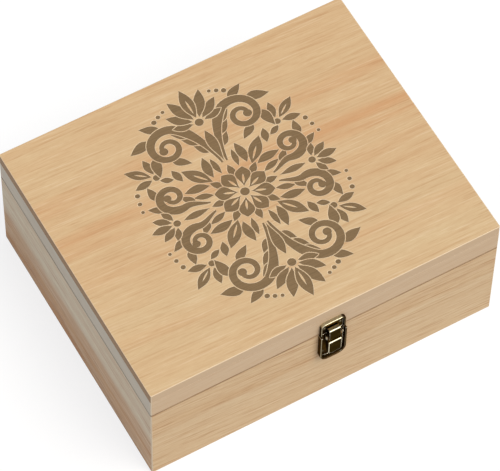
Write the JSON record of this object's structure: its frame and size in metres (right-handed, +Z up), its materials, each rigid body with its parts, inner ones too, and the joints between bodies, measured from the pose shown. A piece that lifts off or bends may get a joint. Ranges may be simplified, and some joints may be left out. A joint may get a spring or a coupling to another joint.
{
  "type": "keepsake box",
  "caption": "Rectangular wooden keepsake box with a hinged lid, stop hinges at the back, a small toggle catch at the front and a burnt ornament on the lid.",
  "frame": {"origin": "centre of the underside of the bottom panel, on the plane that the box stands on", "axes": "+X to the right along the front, +Y from the front to the hinges at the back, +Z up"},
  "size_m": [0.3, 0.256, 0.12],
  "materials": {
    "pine": "fine sanded, unvarnished softwood with a straight pale grain",
    "antique_bronze": "dark antique bronze plating, rubbed bright on the edges",
    "dark_bronze": "dark antique bronze plating, satin"
  },
  "bodies": {
    "case": {"front_wall": "pine", "back_wall": "pine", "left_wall": "pine", "right_wall": "pine", "bottom_panel": "pine", "left_hinge_case_leaf": "antique_bronze", "left_hinge_pin": "dark_bronze", "right_hinge_case_leaf": "antique_bronze", "right_hinge_pin": "dark_bronze", "hinge_case_screws": "antique_bronze", "catch_base": "antique_bronze", "base_nails": "dark_bronze", "lever_rivets": "dark_bronze"},
    "lid": {"lid_top_panel": "pine", "lid_front_rail": "pine", "lid_back_rail": "pine", "lid_left_rail": "pine", "lid_right_rail": "pine", "left_hinge_lid_leaf": "antique_bronze", "right_hinge_lid_leaf": "antique_bronze", "hinge_lid_screws": "antique_bronze", "catch_keeper": "antique_bronze", "keeper_nails": "dark_bronze"},
    "lever": {"catch_lever": "antique_bronze", "link_pin": "dark_bronze"},
    "link": {"catch_link": "antique_bronze"}
  },
  "joints": [
    {"name": "lid_hinge", "type": "hinge", "parent": "case", "child": "lid", "pos_m": [0, 0.1223, 0.09], "axis": [-1, 0, 0], "range_deg": [0, 100]},
    {"name": "lever_pivot", "type": "hinge", "parent": "case", "child": "lever", "pos_m": [0.004, -0.124, 0.0876], "axis": [-1, 0, 0], "range_deg": [0, 100]},
    {"name": "link_pivot", "type": "hinge", "parent": "lever", "child": "link", "pos_m": [0.004, -0.124, 0.084], "axis": [-1, 0, 0], "range_deg": [-85, 0]}
  ],
  "couplings": [
    {"joint": "link_pivot", "follows": "lever_pivot", "ratio": -0.85}
  ]
}
